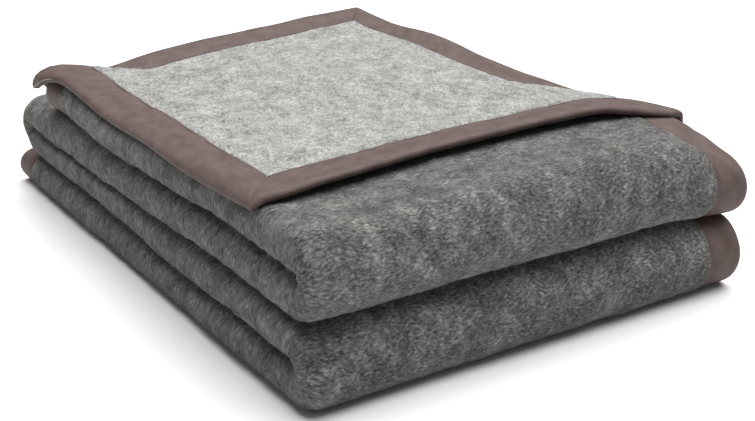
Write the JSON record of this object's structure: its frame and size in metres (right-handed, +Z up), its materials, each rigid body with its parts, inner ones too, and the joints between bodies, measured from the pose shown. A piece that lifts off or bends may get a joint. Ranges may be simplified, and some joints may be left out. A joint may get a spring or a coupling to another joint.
{
  "type": "camp blanket",
  "caption": "Brushed wool camp blanket, dark outside and light reverse, bound in satin tape, folded to a flat stack with one top corner turned back.",
  "frame": {"origin": "centre of the footprint, on the surface that the folded blanket lies on", "axes": "+X along the front edge from the folded left side to the bound right side, +Y from the front folds to the foot edge, +Z up"},
  "size_m": [0.42, 0.6, 0.1436],
  "materials": {
    "wool_dark": "brushed heathered dark grey wool nap",
    "wool_light": "brushed heathered light grey wool nap",
    "satin_binding": "taupe satin tape with a soft sheen"
  },
  "bodies": {
    "bottom_panel": {"wool_bottom_panel": "wool_dark", "outer_edge_binding_bottom_panel": "satin_binding", "inner_edge_binding_bottom_panel": "satin_binding", "foot_binding_bottom_panel": "satin_binding", "wool_lower_front_fold": "wool_dark", "outer_edge_binding_lower_front_fold": "satin_binding", "inner_edge_binding_lower_front_fold": "satin_binding"},
    "lower_middle_panel": {"wool_lower_middle_panel": "wool_dark", "outer_edge_binding_lower_middle_panel": "satin_binding", "inner_edge_binding_lower_middle_panel": "satin_binding", "wool_back_fold": "wool_dark", "outer_edge_binding_back_fold": "satin_binding", "inner_edge_binding_back_fold": "satin_binding"},
    "upper_middle_panel": {"wool_upper_middle_panel": "wool_dark", "outer_edge_binding_upper_middle_panel": "satin_binding", "inner_edge_binding_upper_middle_panel": "satin_binding", "wool_upper_front_fold": "wool_dark", "outer_edge_binding_upper_front_fold": "satin_binding", "inner_edge_binding_upper_front_fold": "satin_binding"},
    "top_panel": {"wool_top_panel": "wool_dark", "outer_edge_binding_top_panel": "satin_binding", "inner_edge_binding_top_panel": "satin_binding", "head_binding_top_panel": "satin_binding", "wool_corner_fold": "wool_light", "head_binding_corner_fold": "satin_binding", "outer_edge_binding_corner_fold": "satin_binding"},
    "turned_corner": {"wool_turned_corner": "wool_light", "outer_edge_binding_turned_corner": "satin_binding", "head_binding_turned_corner": "satin_binding"}
  },
  "joints": [
    {"name": "lower_front_fold", "type": "hinge", "parent": "bottom_panel", "child": "lower_middle_panel", "pos_m": [0, -0.27316, 0.03355], "axis": [1, 0, 0], "range_deg": [0, 178], "deforming": ["wool_lower_front_fold", "outer_edge_binding_lower_front_fold", "inner_edge_binding_lower_front_fold"]},
    {"name": "back_fold", "type": "hinge", "parent": "lower_middle_panel", "child": "upper_middle_panel", "pos_m": [0, 0.25316, 0.06755], "axis": [-1, 0, 0], "range_deg": [0, 178], "deforming": ["wool_back_fold", "outer_edge_binding_back_fold", "inner_edge_binding_back_fold"]},
    {"name": "upper_front_fold", "type": "hinge", "parent": "upper_middle_panel", "child": "top_panel", "pos_m": [0, -0.27316, 0.10155], "axis": [1, 0, 0], "range_deg": [0, 178], "deforming": ["wool_upper_front_fold", "outer_edge_binding_upper_front_fold", "inner_edge_binding_upper_front_fold"]},
    {"name": "corner_fold", "type": "hinge", "parent": "top_panel", "child": "turned_corner", "pos_m": [0, -0.005, 0.13555], "axis": [-0.7071, 0.7071, 0], "range_deg": [0, 180], "deforming": ["wool_corner_fold", "head_binding_corner_fold", "outer_edge_binding_corner_fold"]}
  ],
  "couplings": [
    {"joint": "back_fold", "follows": "lower_front_fold", "ratio": 1},
    {"joint": "upper_front_fold", "follows": "lower_front_fold", "ratio": 1}
  ]
}
